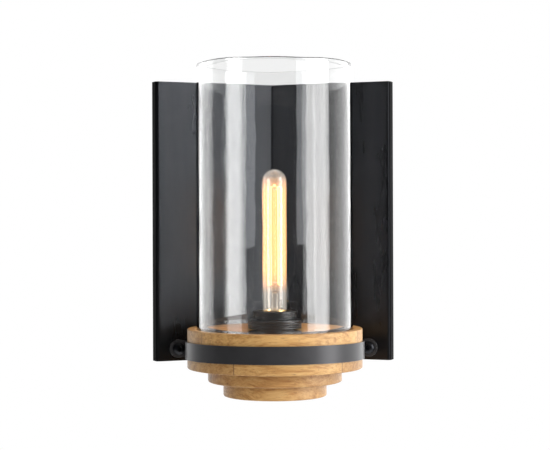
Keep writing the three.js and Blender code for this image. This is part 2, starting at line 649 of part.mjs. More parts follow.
function leads() {
  for (const [name, sign, material] of [["live", -1, blackPlastic], ["neutral", 1, palePlastic]]) {
    const aside = lead.spread * sign;
    const points = [
      towardsWing(12, 3 * sign, body.bottom + 3.5),
      towardsWing(12, 3 * sign, -20.5),
      towardsWing(13.5, 2.6 * sign, -24),
      towardsWing(18, aside, lead.z),
      towardsWing(50, aside, lead.z),
      towardsWing(88, aside, lead.z),
      towardsWing(101, aside, lead.z),
      towardsWing(108, aside, lead.z + 4),
      new THREE.Vector3(block.x + (block.pole - 1) * sign, blockY, 0),
      new THREE.Vector3(block.x + block.pole * sign, blockY, block.bottom - 8),
      new THREE.Vector3(block.x + block.pole * sign, blockY, block.bottom + 7),
    ];
    add(`lead_${name}`, wire(points, lead.radius, 46), material);
  }
  const bushing = turned([
    [3.4, -4], [6.8, -4], [6.8, -2.8], [6.3, -2.3], [4.7, -2.3], [4.7, 0], [3.4, 0], [3.4, -4],
  ], 20);
  add("lead_bushing", bushing, blackPlastic, onWing(1, touch, lead.z, 0), wingNormal(1));
}

backPlate();
woodBase();
baseScrews();
strapBand();
strapBolts();
glassCylinder();
socket();
bulb();
wiringBox();
wallBracket();
terminalBlock();
leads();

export default part;
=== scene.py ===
"""Wall sconce: a stepped wooden base strapped into a V-shaped steel plate, with a glass tube round a bulb.

Metres, +Z up, +Y into the wall. Profiles are in millimetres, with heights above the top of the wood.
"""

import math

import bmesh
import bpy
from mathutils import Matrix, Vector


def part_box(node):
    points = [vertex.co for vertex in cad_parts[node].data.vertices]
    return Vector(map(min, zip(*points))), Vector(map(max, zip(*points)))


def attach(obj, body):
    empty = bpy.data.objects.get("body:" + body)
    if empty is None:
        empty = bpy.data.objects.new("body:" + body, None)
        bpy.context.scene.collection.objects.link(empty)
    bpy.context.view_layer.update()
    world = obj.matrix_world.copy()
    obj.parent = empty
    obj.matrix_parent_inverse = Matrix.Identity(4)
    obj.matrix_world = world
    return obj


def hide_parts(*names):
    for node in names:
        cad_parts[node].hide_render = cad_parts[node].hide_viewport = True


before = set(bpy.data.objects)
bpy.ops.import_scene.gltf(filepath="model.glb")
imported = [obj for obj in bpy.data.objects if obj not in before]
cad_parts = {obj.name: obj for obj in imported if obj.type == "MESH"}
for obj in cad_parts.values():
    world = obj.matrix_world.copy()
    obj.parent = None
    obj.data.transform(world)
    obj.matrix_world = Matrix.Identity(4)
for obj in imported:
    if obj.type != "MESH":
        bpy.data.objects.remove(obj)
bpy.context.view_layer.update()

MM = 0.001
glass_low, glass_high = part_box("glass_cylinder")
wood_low, wood_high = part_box("base_disc_upper")
AXIS_Y = (glass_low[1] + glass_high[1]) / 2
WOOD_TOP = wood_high[2]
DRUM_RADIUS = (wood_high[0] - wood_low[0]) / 2 / MM
GLASS_RADIUS = (glass_high[0] - glass_low[0]) / 2 / MM
THREAD_PITCH, THREAD_DEPTH = 25.4 / 7, 0.45
BARE_STEEL = (0.30, 0.30, 0.30, 1)


# ---- Camera, light and floor ----


def camera():
    lens = bpy.data.cameras.new("camera")
    lens.lens = 96.0
    lens.sensor_width = 36.0
    lens.shift_x, lens.shift_y = 0.001, -0.0155
    lens.clip_end = 50
    eye = bpy.data.objects.new("camera", lens)
    aside, back = -0.040, 1.576
    eye.location = (aside, AXIS_Y - back, WOOD_TOP + 0.120)
    eye.rotation_euler = (math.radians(90), math.radians(0.2), math.atan2(aside, back))
    bpy.context.scene.collection.objects.link(eye)
    bpy.context.scene.camera = eye
    bpy.context.scene.view_settings.view_transform = "Standard"


def straight_through(tree):
    """1 for what is looked at through glass, and 0 once light has been mirrored or scattered."""
    path = add(tree, "ShaderNodeLightPath").outputs
    bounced = maths(tree, "ADD", path["Glossy Depth"], path["Diffuse Depth"])
    return maths(tree, "MULTIPLY", path["Is Transmission Ray"], maths(tree, "LESS_THAN", bounced, 0.5))


def softbox(name, azimuth, elevation, distance, width, height, watts, colour=(1, 1, 1), mirrored=True):
    """A soft light that faces the lamp. Azimuth is measured from the front towards the right."""
    data = bpy.data.lights.new(name, "AREA")
    data.shape = "RECTANGLE"
    data.size, data.size_y, data.energy, data.color = width, height, watts, colour
    data.use_nodes = True
    tree = data.node_tree
    shown = maths(tree, "SUBTRACT", 1.0, straight_through(tree))
    tree.links.new(shown, tree.nodes["Emission"].inputs["Strength"])
    lamp = bpy.data.objects.new(name, data)
    turn, rise = math.radians(azimuth), math.radians(elevation)
    way = Vector((math.sin(turn) * math.cos(rise), -math.cos(turn) * math.cos(rise), math.sin(rise)))
    lamp.location = Vector((0, AXIS_Y, WOOD_TOP + 0.1)) + distance * way
    lamp.rotation_euler = way.to_track_quat("Z", "Y").to_euler()
    lamp.visible_camera = False
    lamp.visible_transmission = lamp.visible_glossy = mirrored
    bpy.context.scene.collection.objects.link(lamp)
    return lamp


def only_on(lamp, *lit):
    """Keeps a light to the given pieces."""
    group_of_lit = bpy.data.collections.new(f"lit_by_{lamp.name}")
    for made in lit:
        group_of_lit.objects.link(made)
    lamp.light_linking.receiver_collection = group_of_lit


def bulb_light():
    """Small warm lights along the filament."""
    for height in (60, 85, 110, 135):
        data = bpy.data.lights.new("filament_glow", "POINT")
        data.energy, data.color, data.shadow_soft_size = 0.06, (1.0, 0.50, 0.20), 0.006
        lamp = bpy.data.objects.new("filament_glow", data)
        lamp.location = (0, AXIS_Y, WOOD_TOP + height * MM)
        lamp.visible_camera = lamp.visible_transmission = lamp.visible_glossy = False
        bpy.context.scene.collection.objects.link(lamp)


def surroundings():
    """White to look at and behind the lamp, and a dim room in front of it."""
    world = bpy.data.worlds.new("studio")
    bpy.context.scene.world = world
    world.use_nodes = True
    tree = world.node_tree
    tree.nodes.clear()
    way = add(tree, "ShaderNodeTexCoord").outputs["Generated"]
    bright_side = {0: way, 1: (0.35, 0.94, 0.0)}
    behind = add(tree, "ShaderNodeVectorMath", bright_side, operation="DOT_PRODUCT").outputs["Value"]
    rear = maths(tree, "POWER", ranged(tree, behind, -0.6, 1.0), 1.5)
    dim = mixed(tree, rear, (0.035, 0.036, 0.040, 1), (2.2, 2.2, 2.2, 1))
    camera_ray = add(tree, "ShaderNodeLightPath").outputs["Is Camera Ray"]
    seen = maths(tree, "MAXIMUM", camera_ray, straight_through(tree))
    colour = mixed(tree, seen, dim, (1.0, 1.0, 1.0, 1))
    sky = add(tree, "ShaderNodeBackground", {"Color": colour, "Strength": 1.0})
    out = add(tree, "ShaderNodeOutputWorld")
    tree.links.new(sky.outputs[0], out.inputs[0])


def floor():
    bm = bmesh.new()
    bmesh.ops.create_circle(bm, cap_ends=True, segments=96, radius=3.5)
    bmesh.ops.translate(bm, verts=bm.verts, vec=(0, 0, -1.15))
    mesh = bpy.data.meshes.new("floor")
    bm.to_mesh(mesh)
    bm.free()
    ground = bpy.data.objects.new("floor", mesh)
    bpy.context.scene.collection.objects.link(ground)
    mesh.materials.append(plain("floor_paint", (0.86, 0.86, 0.85), 0.6))


# ---- Node helpers ----


def add(tree, kind, values=None, **settings):
    """A node with its inputs set: a socket is linked, and anything else is a value."""
    made = tree.nodes.new(kind)
    for key, value in settings.items():
        setattr(made, key, value)
    for key, value in (values or {}).items():
        if isinstance(value, bpy.types.NodeSocket):
            tree.links.new(value, made.inputs[key])
        else:
            made.inputs[key].default_value = value
    return made


def maths(tree, operation, first, second=0.0):
    return add(tree, "ShaderNodeMath", {0: first, 1: second}, operation=operation).outputs[0]


def mixed(tree, factor, first, second, blend="MIX"):
    node = add(tree, "ShaderNodeMix", data_type="RGBA", blend_type=blend)
    for index, value in ((0, factor), (6, first), (7, second)):
        if isinstance(value, bpy.types.NodeSocket):
            tree.links.new(value, node.inputs[index])
        else:
            node.inputs[index].default_value = value
    return node.outputs[2]


def ranged(tree, value, low, high, to_low=0.0, to_high=1.0):
    names = {"Value": value, "From Min": low, "From Max": high, "To Min": to_low, "To Max": to_high}
    return add(tree, "ShaderNodeMapRange", names).outputs["Result"]


def ramp(tree, factor, stops):
    node = add(tree, "ShaderNodeValToRGB", {"Fac": factor})
    elements = node.color_ramp.elements
    while len(elements) < len(stops):
        elements.new(0.5)
    for element, (place, colour) in zip(elements, stops):
        element.position = place
        element.color = (*colour, 1)
    return node.outputs["Color"]


def stretched(tree, vector, scale):
    return add(tree, "ShaderNodeMapping", {"Vector": vector, "Scale": scale}).outputs[0]


def noise(tree, vector, scale, detail=3.0, roughness=0.55):
    names = {"Vector": vector, "Scale": scale, "Detail": detail, "Roughness": roughness}
    return add(tree, "ShaderNodeTexNoise", names).outputs["Fac"]


def group(name, inputs, outputs):
    """An empty shader group with its sockets: (name, kind, default) going in and (name, kind) coming out."""
    tree = bpy.data.node_groups.new(name, "ShaderNodeTree")
    for label, kind, default in inputs:
        socket = tree.interface.new_socket(label, in_out="INPUT", socket_type=f"NodeSocket{kind}")
        socket.default_value = default
    for label, kind in outputs:
        tree.interface.new_socket(label, in_out="OUTPUT", socket_type=f"NodeSocket{kind}")
    return tree, tree.nodes.new("NodeGroupInput").outputs, tree.nodes.new("NodeGroupOutput").inputs


def edge_wear_group():
    """A mask that is 1 along outer edges, broken up by a fine noise."""
    tree, given, out = group(
        "edge_wear",
        [("Width", "Float", 0.001), ("Amount", "Float", 1.0)],
        [("Mask", "Float")],
    )
    place = add(tree, "ShaderNodeTexCoord").outputs["Object"]
    rounded = add(tree, "ShaderNodeBevel", {"Radius": given["Width"]}, samples=6).outputs[0]
    flat = add(tree, "ShaderNodeNewGeometry").outputs["Normal"]
    alike = add(tree, "ShaderNodeVectorMath", {0: rounded, 1: flat}, operation="DOT_PRODUCT").outputs["Value"]
    edge = ranged(tree, alike, 0.985, 0.86)
    broken = ranged(tree, noise(tree, place, 260, 4, 0.7), 0.42, 0.62)
    mask = maths(tree, "MULTIPLY", maths(tree, "MULTIPLY", edge, broken), given["Amount"])
    tree.links.new(mask, out["Mask"])
    return tree


def mottle_group():
    """Cloudy and fine unevenness of a finish: a value for roughness and a height for bump."""
    tree, given, out = group(
        "mottle",
        [("Cloud Scale", "Float", 30.0), ("Grain Scale", "Float", 900.0), ("Stretch", "Vector", (1, 1, 1))],
        [("Cloud", "Float"), ("Grain", "Float"), ("Height", "Float")],
    )
    place = add(tree, "ShaderNodeTexCoord").outputs["Object"]
    pulled = add(tree, "ShaderNodeVectorMath", {0: place, 1: given["Stretch"]}, operation="MULTIPLY").outputs[0]
    cloud = noise(tree, pulled, given["Cloud Scale"], 4, 0.6)
    grain = noise(tree, pulled, given["Grain Scale"], 2, 0.5)
    height = maths(tree, "ADD", cloud, maths(tree, "MULTIPLY", grain, 0.3))
    for label, value in (("Cloud", cloud), ("Grain", grain), ("Height", height)):
        tree.links.new(value, out[label])
    return tree


def boards_group():
    """Glued boards that run from side to side: their colour, height and how dark the pores are."""
    usual = {"Board Width": 0.055, "Shift": 0.0, "Seed": 0.0, "Tilt": 0.0}
    tree, given, out = group(
        "boards",
        [(label, "Float", value) for label, value in usual.items()],
        [("Color", "Color"), ("Height", "Float"), ("Pores", "Float")],
    )
    place = add(tree, "ShaderNodeTexCoord").outputs["Object"]
    turn = {"Vector": place, "Angle": given["Tilt"], "Center": (0, AXIS_Y, 0)}
    spun = add(tree, "ShaderNodeVectorRotate", turn)
    y = add(tree, "ShaderNodeSeparateXYZ", {"Vector": spun.outputs[0]}).outputs[1]
    across = maths(tree, "DIVIDE", maths(tree, "ADD", y, given["Shift"]), given["Board Width"])
    number = maths(tree, "ADD", maths(tree, "FLOOR", across), given["Seed"])
    tone = add(tree, "ShaderNodeTexWhiteNoise", {"W": number}, noise_dimensions="1D").outputs["Value"]
    from_joint = maths(tree, "ABSOLUTE", maths(tree, "SUBTRACT", maths(tree, "FRACT", across), 0.5))
    joint = ranged(tree, from_joint, 0.494, 0.4985)

    sideways = maths(tree, "MULTIPLY", tone, 3.1)
    own = add(tree, "ShaderNodeCombineXYZ", {0: sideways, 1: number, 2: given["Seed"]}).outputs[0]
    at = add(tree, "ShaderNodeVectorMath", {0: spun.outputs[0], 1: own}, operation="ADD").outputs[0]
    wander = noise(tree, stretched(tree, at, (7, 26, 26)), 1.0, 3, 0.5)
    bent = add(tree, "ShaderNodeCombineXYZ", {2: maths(tree, "MULTIPLY", wander, 0.030)}).outputs[0]
    flow = add(tree, "ShaderNodeVectorMath", {0: at, 1: bent}, operation="ADD").outputs[0]
    rings = noise(tree, stretched(tree, flow, (9, 150, 230)), 1.0, 4, 0.62)
    streaks = noise(tree, stretched(tree, flow, (45, 420, 620)), 1.0, 3, 0.6)
    figure = maths(tree, "ADD", maths(tree, "MULTIPLY", rings, 0.55), maths(tree, "MULTIPLY", streaks, 0.45))
    colour = ramp(
        tree,
        figure,
        [
            (0.28, (0.250, 0.104, 0.029)),
            (0.41, (0.430, 0.220, 0.068)),
            (0.52, (0.585, 0.345, 0.126)),
            (0.66, (0.690, 0.455, 0.200)),
        ],
    )
    blotch = ranged(tree, noise(tree, stretched(tree, at, (9, 22, 30)), 1.0, 3, 0.55), 0.36, 0.66)
    colour = mixed(tree, maths(tree, "MULTIPLY", blotch, 0.50), colour, (0.66, 0.58, 0.50, 1), "MULTIPLY")
    cast = mixed(tree, tone, (0.78, 0.72, 0.66, 1), (1.12, 1.08, 1.00, 1))
    colour = mixed(tree, 1.0, colour, cast, "MULTIPLY")

    spots = {"Vector": stretched(tree, flow, (13, 24, 34)), "Scale": 1.0, "Randomness": 1.0}
    knots = add(tree, "ShaderNodeTexVoronoi", spots)
    knot = ranged(tree, knots.outputs["Distance"], 0.17, 0.05)
    knot = maths(tree, "MULTIPLY", knot, ranged(tree, knots.outputs["Color"], 0.62, 0.70))
    colour = mixed(tree, maths(tree, "MULTIPLY", knot, 0.85), colour, (0.085, 0.040, 0.018, 1))
    pore = noise(tree, stretched(tree, at, (110, 1500, 1500)), 1.0, 2, 0.6)
    pores = ranged(tree, pore, 0.60, 0.72)
    colour = mixed(tree, maths(tree, "MULTIPLY", pores, 0.55), colour, (0.130, 0.066, 0.030, 1))
    colour = mixed(tree, maths(tree, "MULTIPLY", joint, 0.8), colour, (0.110, 0.052, 0.022, 1))

    dents = maths(tree, "ADD", pores, maths(tree, "MULTIPLY", joint, 1.5))
    height = maths(tree, "SUBTRACT", maths(tree, "MULTIPLY", streaks, 0.5), dents)
    for label, value in (("Color", colour), ("Height", height), ("Pores", pores)):
        tree.links.new(value, out[label])
    return tree


# ---- Materials ----


def blank(name):
    material = bpy.data.materials.new(name)
    material.use_nodes = True
    material.node_tree.nodes.clear()
    return material, material.node_tree


def show(tree, shader):
    out = add(tree, "ShaderNodeOutputMaterial")
    tree.links.new(shader, out.inputs["Surface"])


def placed(tree, shared, **values):
    node = add(tree, "ShaderNodeGroup", node_tree=shared)
    for key, value in values.items():
        node.inputs[key.replace("_", " ").title()].default_value = value
    return node.outputs


def bumped(tree, height, distance, strength=1.0):
    values = {"Height": height, "Distance": distance, "Strength": strength}
    return add(tree, "ShaderNodeBump", values).outputs[0]


def principled(tree, colour, rough, normal=None, **plain_values):
    values = {"Base Color": colour, "Roughness": rough}
    if normal is not None:
        values["Normal"] = normal
    for key, value in plain_values.items():
        values[key.replace("_", " ").title().replace("Ior", "IOR")] = value
    return add(tree, "ShaderNodeBsdfPrincipled", values)


def plain(name, colour, rough):
    """A painted surface with a faint cloudiness."""
    material, tree = blank(name)
    cloud = placed(tree, MOTTLE, cloud_scale=2.0, grain_scale=60.0)["Cloud"]
    dull = tuple(0.94 * c for c in colour)
    tint = mixed(tree, cloud, (*dull, 1), (*colour, 1))
    show(tree, principled(tree, tint, rough).outputs[0])
    return material


def black_steel(name, rough, stretch, worn=0.45, base=(0.040, 0.041, 0.045), metallic=0.93, painted_shade_lips=False):
    """Blackened steel sheet under wax: near black, cloudy, and a little bare at its edges."""
    material, tree = blank(name)
    mottle = placed(tree, MOTTLE, cloud_scale=22.0, grain_scale=700.0, stretch=stretch)
    wear = placed(tree, EDGE_WEAR, width=0.0009, amount=worn)["Mask"]
    browned = tuple(0.80 * c for c in base)
    tint = mixed(tree, ranged(tree, mottle["Cloud"], 0.35, 0.68), (*browned, 1), (*base, 1))
    tint = mixed(tree, wear, tint, BARE_STEEL)
    dull = ranged(tree, mottle["Cloud"], 0.3, 0.7, rough - 0.05, rough + 0.08)
    # Painted shade: the plate's outer lips are painted near black so they show no bright reflection. They are
    # also made rougher.
    if painted_shade_lips:
        place = add(tree, "ShaderNodeTexCoord").outputs["Object"]
        aside = maths(tree, "ABSOLUTE", add(tree, "ShaderNodeSeparateXYZ", {"Vector": place}).outputs[0])
        lip_painted_shade = ranged(tree, aside, 0.1285, 0.1292)
        tint = mixed(tree, lip_painted_shade, tint, (0.008, 0.008, 0.009, 1))
        dull = maths(tree, "ADD", dull, maths(tree, "MULTIPLY", lip_painted_shade, 0.50))
    normal = bumped(tree, mottle["Height"], 0.00003, 0.5)
    show(tree, principled(tree, tint, dull, normal, metallic=metallic, specular_ior_level=0.35).outputs[0])
    return material


def metal(name, colour, dark, rough, worn=0.0):
    """Bare or plated metal with cloudy tarnish."""
    material, tree = blank(name)
    mottle = placed(tree, MOTTLE, cloud_scale=120.0, grain_scale=1800.0)
    tint = mixed(tree, ranged(tree, mottle["Cloud"], 0.35, 0.7), (*dark, 1), (*colour, 1))
    if worn:
        wear = placed(tree, EDGE_WEAR, width=0.0004, amount=worn)["Mask"]
        tint = mixed(tree, wear, tint, (*(min(1, 1.25 * c) for c in colour), 1))
    dull = ranged(tree, mottle["Cloud"], 0.3, 0.75, rough + 0.10, rough - 0.05)
    normal = bumped(tree, mottle["Grain"], 0.00003, 0.4)
    show(tree, principled(tree, tint, dull, normal, metallic=1.0).outputs[0])
    return material


def moulded(name, colour, rough, grain=900.0, depth=0.00003):
    """Moulded plastic, rubber or unglazed ceramic with a fine skin."""
    material, tree = blank(name)
    mottle = placed(tree, MOTTLE, cloud_scale=45.0, grain_scale=grain)
    dusty = tuple(0.75 * c + 0.012 for c in colour)
    tint = mixed(tree, ranged(tree, mottle["Cloud"], 0.35, 0.7), (*colour, 1), (*dusty, 1))
    dull = ranged(tree, mottle["Cloud"], 0.3, 0.7, rough - 0.05, rough + 0.08)
    show(tree, principled(tree, tint, dull, bumped(tree, mottle["Grain"], depth, 0.6)).outputs[0])
    return material


def board_wood(name, width, shift, seed, tilt=0.0):
    """Pale glued boards, sanded, with a thin matt finish."""
    material, tree = blank(name)
    boards = placed(tree, BOARDS, board_width=width, shift=shift, seed=seed, tilt=tilt)
    dull = ranged(tree, boards["Pores"], 0.0, 1.0, 0.50, 0.72)
    normal = bumped(tree, boards["Height"], 0.00022, 0.7)
    finish = {"coat_weight": 0.40, "coat_roughness": 0.50}
    show(tree, principled(tree, boards["Color"], dull, normal, **finish).outputs[0])
    return material


def clear_glass(name, tint, wave_scale, wave_depth, stretch=(1, 1, 1), glow=0.0):
    """Clear glass with a slow waviness that lamps shine through. A bulb's glass also gets a painted glow, warm
    round its filament and faint grey above and below it.
    """
    material, tree = blank(name)
    mottle = placed(tree, MOTTLE, cloud_scale=wave_scale, grain_scale=wave_scale * 4, stretch=stretch)
    normal = bumped(tree, mottle["Cloud"], wave_depth, 1.0)
    body = principled(tree, (*tint, 1), 0.0, normal, transmission_weight=1.0, ior=1.48)
    # Painted glow: warm emission at the filament's height and faint grey emission elsewhere on the glass,
    # standing in for the light round the filament.
    if glow:
        place = add(tree, "ShaderNodeTexCoord").outputs["Object"]
        height = add(tree, "ShaderNodeSeparateXYZ", {"Vector": place}).outputs[2]
        above_foot = ranged(tree, height, WOOD_TOP + 38 * MM, WOOD_TOP + 60 * MM)
        below_top = ranged(tree, height, WOOD_TOP + 164 * MM, WOOD_TOP + 146 * MM)
        painted_glow_band = maths(tree, "MULTIPLY", above_foot, below_top)
        painted_glow_colour = mixed(tree, painted_glow_band, (0.22, 0.20, 0.18, 1), (1.0, 0.48, 0.20, 1))
        tree.links.new(painted_glow_colour, body.inputs["Emission Color"])
        body.inputs["Emission Strength"].default_value = glow
    through = add(tree, "ShaderNodeBsdfTransparent", {"Color": (0.93, 0.95, 0.94, 1)}).outputs[0]
    path = add(tree, "ShaderNodeLightPath").outputs["Is Shadow Ray"]
    both = add(tree, "ShaderNodeMixShader", {0: path, 1: body.outputs[0], 2: through}).outputs[0]
    show(tree, both)
    return material


def glowing_wire():
    material, tree = blank("glowing_filament")
    cloud = placed(tree, MOTTLE, cloud_scale=160.0, grain_scale=900.0)["Cloud"]
    heat = mixed(tree, ranged(tree, cloud, 0.35, 0.65), (1.0, 0.50, 0.16, 1), (1.0, 0.66, 0.30, 1))
    shader = principled(tree, (0.35, 0.2, 0.1, 1), 0.5, emission_color=heat, emission_strength=2.6)
    show(tree, shader.outputs[0])
    return material


def felt_cloth():
    material, tree = blank("grey_felt")
    place = add(tree, "ShaderNodeTexCoord").outputs["Object"]
    fibres = noise(tree, place, 2200, 4, 0.7)
    tint = mixed(tree, fibres, (0.045, 0.042, 0.040, 1), (0.13, 0.12, 0.11, 1))
    normal = bumped(tree, fibres, 0.0003, 0.9)
    show(tree, principled(tree, tint, 0.95, normal, sheen_weight=0.4).outputs[0])
    return material


# ---- Mesh helpers ----


def at_lamp(bm):
    """Moves a shape made in millimetres about the lamp's axis, above the wood, to its place in metres."""
    place = Matrix.Translation((0, AXIS_Y, WOOD_TOP)) @ Matrix.Scale(MM, 4)
    bmesh.ops.transform(bm, matrix=place, verts=bm.verts)
    return bm


def turned(profile, steps=64, closed=False):
    """A profile of (radius, height) pairs turned about the lamp's axis, in millimetres."""
    bm = bmesh.new()
    verts = [bm.verts.new((radius, 0, height)) for radius, height in profile]
    edges = [bm.edges.new(pair) for pair in zip(verts, verts[1:])]
    if closed:
        edges.append(bm.edges.new((verts[-1], verts[0])))
    whole_turn = {"axis": (0, 0, 1), "cent": (0, 0, 0), "angle": math.tau, "use_merge": True}
    bmesh.ops.spin(bm, geom=verts + edges, steps=steps, **whole_turn)
    bmesh.ops.remove_doubles(bm, verts=bm.verts, dist=1e-4)
    bmesh.ops.recalc_face_normals(bm, faces=bm.faces)
    return bm


def soften(bm, size, segments=2, angle=50):
    """Rounds every edge sharper than the angle, except where faces are thinner than the rounding."""
    sharp = [e for e in bm.edges if len(e.link_faces) == 2 and e.calc_face_angle() > math.radians(angle)]
    rounding = {"profile": 0.5, "affect": "EDGES", "material": -1, "clamp_overlap": True}
    bmesh.ops.bevel(bm, geom=sharp, offset=size, segments=segments, **rounding)
    return bm


def piece(name, bm, material, body, nodes, smooth=34):
    mesh = bpy.data.meshes.new(name)
    bm.to_mesh(mesh)
    bm.free()
    mesh.materials.append(material)
    mesh.shade_smooth()
    mesh.set_sharp_from_angle(angle=math.radians(smooth))
    made = bpy.data.objects.new(name, mesh)
    bpy.context.scene.collection.objects.link(made)
    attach(made, body)
    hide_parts(*nodes)
    return made


def from_frame(node):
    """A welded copy of a frame node's mesh, with its flat faces made whole."""
    bm = bmesh.new()
    bm.from_mesh(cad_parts[node].data)
    bmesh.ops.remove_doubles(bm, verts=bm.verts, dist=2e-6)
    bmesh.ops.dissolve_limit(bm, angle_limit=math.radians(0.6), verts=bm.verts, edges=bm.edges)
    return bm


def refined(name, node, material, body="root", size=0.3, segments=2):
    """A frame node with its edges rounded and its flat faces shaded flat."""
    made = piece(name, soften(from_frame(node), size * MM, segments), material, body, [node])
    even = made.modifiers.new("flat_faces", "WEIGHTED_NORMAL")
    even.mode, even.weight, even.keep_sharp = "FACE_AREA", 100, True
    return made


def ribbed(radius, low, high, count, depth):
    """Points down a turned wall, from high to low, with shallow grooves."""
    pitch = (high - low) / count
    points = []
    for i in range(count):
        top = high - i * pitch
        land = [(radius, top), (radius, top - 0.55 * pitch)]
        groove = [(radius - depth, top - 0.65 * pitch), (radius - depth, top - 0.9 * pitch)]
        points += [*land, *groove]
    return [*points, (radius, low)]


# ---- Wood base ----


def wood_disc(name, node, top, bottom, material, inner):
    """One of the two large discs. The inner profile runs from its top face down to its bottom face."""
    profile = [*inner, (DRUM_RADIUS, bottom), (DRUM_RADIUS, top)]
    bm = soften(turned(profile, 128, closed=True), 0.9, 4, 60)
    return piece(name, at_lamp(bm), material, "root", [node])


def wood_base():
    half_gap = 0.15
    upper_bottom, lower_top, lower_bottom = half_gap - 21, -21 - half_gap, half_gap - 42
    boards = board_wood("upper_boards", 0.075, 0.1711, 3.0, -0.0862)
    inner = [(85, 0), (85, -4), (80.2, -4), (80.2, 0), (22, 0), (22, upper_bottom)]
    wood_disc("upper_disc", "base_disc_upper", 0, upper_bottom, boards, inner)
    boards = board_wood("lower_boards", 0.070, 0.1993, 11.0, -0.157)
    inner = [(22, lower_top), (22, -30), (5.1, -30), (5.1, -34), (12, -34), (12, lower_bottom)]
    wood_disc("lower_disc", "base_disc_lower", lower_top, lower_bottom, boards, inner)
    for name, width, shift, seed in (("middle", 0.090, 0.1122, 23.0), ("bottom", 0.075, 0.1092, 37.0)):
        boards = board_wood(f"{name}_boards", width, shift, seed)
        refined(f"{name}_step", f"step_disc_{name}", boards, size=0.25)


# ---- Glass ----


def glass_cylinder():
    """A drawn glass tube: its wall and rim are a little uneven."""
    low = glass_low[2] / MM - WOOD_TOP / MM
    high = glass_high[2] / MM - WOOD_TOP / MM
    inner = GLASS_RADIUS - 3.5
    heights = [low + (high - low) * i / 40 for i in range(41)]
    outside = [(GLASS_RADIUS - 0.12, z) for z in heights]
    inside = [(inner, z) for z in reversed(heights)]
    bm = turned([*inside, *outside], 160, closed=True)
    for vert in bm.verts:
        angle = math.atan2(vert.co.y, vert.co.x)
        up = (vert.co.z - low) / (high - low)
        swell = 0.10 * math.sin(3 * angle + 5 * up) * math.sin(math.pi * up)
        near_top = max(0.0, (up - 0.97) / 0.03)
        dip = near_top * (0.55 + 0.35 * math.sin(4 * angle + 1.0) + 0.2 * math.sin(9 * angle))
        scale = 1 + swell / GLASS_RADIUS
        vert.co = Vector((vert.co.x * scale, vert.co.y * scale, vert.co.z - dip))
    soften(bm, 1.1, 3, 60)
    made = clear_glass("hurricane_glass", (0.950, 0.953, 0.951), 7.0, 0.0016, (1, 1, 0.35))
    tube = piece("glass_tube", at_lamp(bm), made, "glass", ["glass_cylinder"], 60)
    ring = soften(turned([(80.8, -3.7), (84.4, -3.7), (84.4, -2.7), (80.8, -2.7)], 96, closed=True), 0.2)
    piece("felt_ring", at_lamp(ring), felt_cloth(), "root", ["glass_seat_ring"])
    return tube


# ---- Socket ----


def socket(phenolic, brass, zinc):
    outside = ribbed(29, 1.2, 8.6, 3, 0.5)
    skirt = [(20.6, 10), (27.6, 10), (28.6, 9.6), *outside, (29, 0.3), (27.2, 0.3), (27.2, 8.2), (20.6, 8.2)]
    bm = at_lamp(soften(turned(skirt, 96, closed=True), 0.25, 2, 40))
    piece("socket_skirt", bm, phenolic, "root", ["socket_flange"])
    mouth = [(0, -10), (14.4, -10), (14.4, 16.6), (15.6, 18.3), (16.6, 19), (22.3, 19), (23.2, 18.4)]
    wall = ribbed(23.5, 11.6, 17.8, 3, 0.45)
    below = [(23.5, 10.3), (20, 10.3), (20, -18), (0, -18)]
    bm = at_lamp(soften(turned([*mouth, *wall, *below], 96), 0.25, 2, 40))
    piece("socket_cup", bm, phenolic, "root", ["socket_body"])
    shell = at_lamp(threaded_tube(13.0, 0.45, -8.2, 13))
    piece("threaded_shell", shell, brass, "root", ["socket_shell"], 50)
    refined("contact_strip", "socket_contact", brass, size=0.1)
    refined("yoke", "socket_yoke", zinc, size=0.2)
    refined("nipple", "socket_nipple", brass, size=0.3)
    refined("nipple_locknut", "nipple_nut", brass, size=0.4)
    refined("nipple_flat_washer", "nipple_washer", zinc, size=0.2)
    for i in (1, 2):
        refined(f"yoke_screw_head_{i}", f"yoke_screw_{i}", zinc, size=0.15)


def threaded_tube(radius, skin, low, high):
    """The socket's thin tube with the lamp thread wound into it."""
    count = round(12 * (high - low) / THREAD_PITCH)
    heights = [low + (high - low) * i / count for i in range(count + 1)]
    profile = [(radius, z) for z in reversed(heights)] + [(radius + skin, z) for z in heights]
    bm = turned(profile, 72, closed=True)
    wind(bm.verts, low, high, 1)
    return bm


def wind(verts, low, high, ends):
    """Moves a turned wall in and out along a screw thread. It ends full out, at 1, or full in, at -1."""
    for vert in verts:
        x, y, z = vert.co
        inside = min(1.0, max(0.0, min(z - low, high - z) / (THREAD_PITCH / 2)))
        fade = inside * inside * (3 - 2 * inside)
        wave = math.cos(math.tau * z / THREAD_PITCH - math.atan2(y, x))
        radius = math.hypot(x, y)
        scale = (radius + THREAD_DEPTH * (fade * wave + (1 - fade) * ends)) / radius
        vert.co = Vector((x * scale, y * scale, z))


# ---- Bulb ----


def arc(radius, centre, start, end, steps):
    """Points of an arc in a turned profile, about (0, centre), with angles in degrees from level."""
    angles = [math.radians(start + (end - start) * i / steps) for i in range(steps + 1)]
    return [(radius * math.cos(a), centre + radius * math.sin(a)) for a in angles]


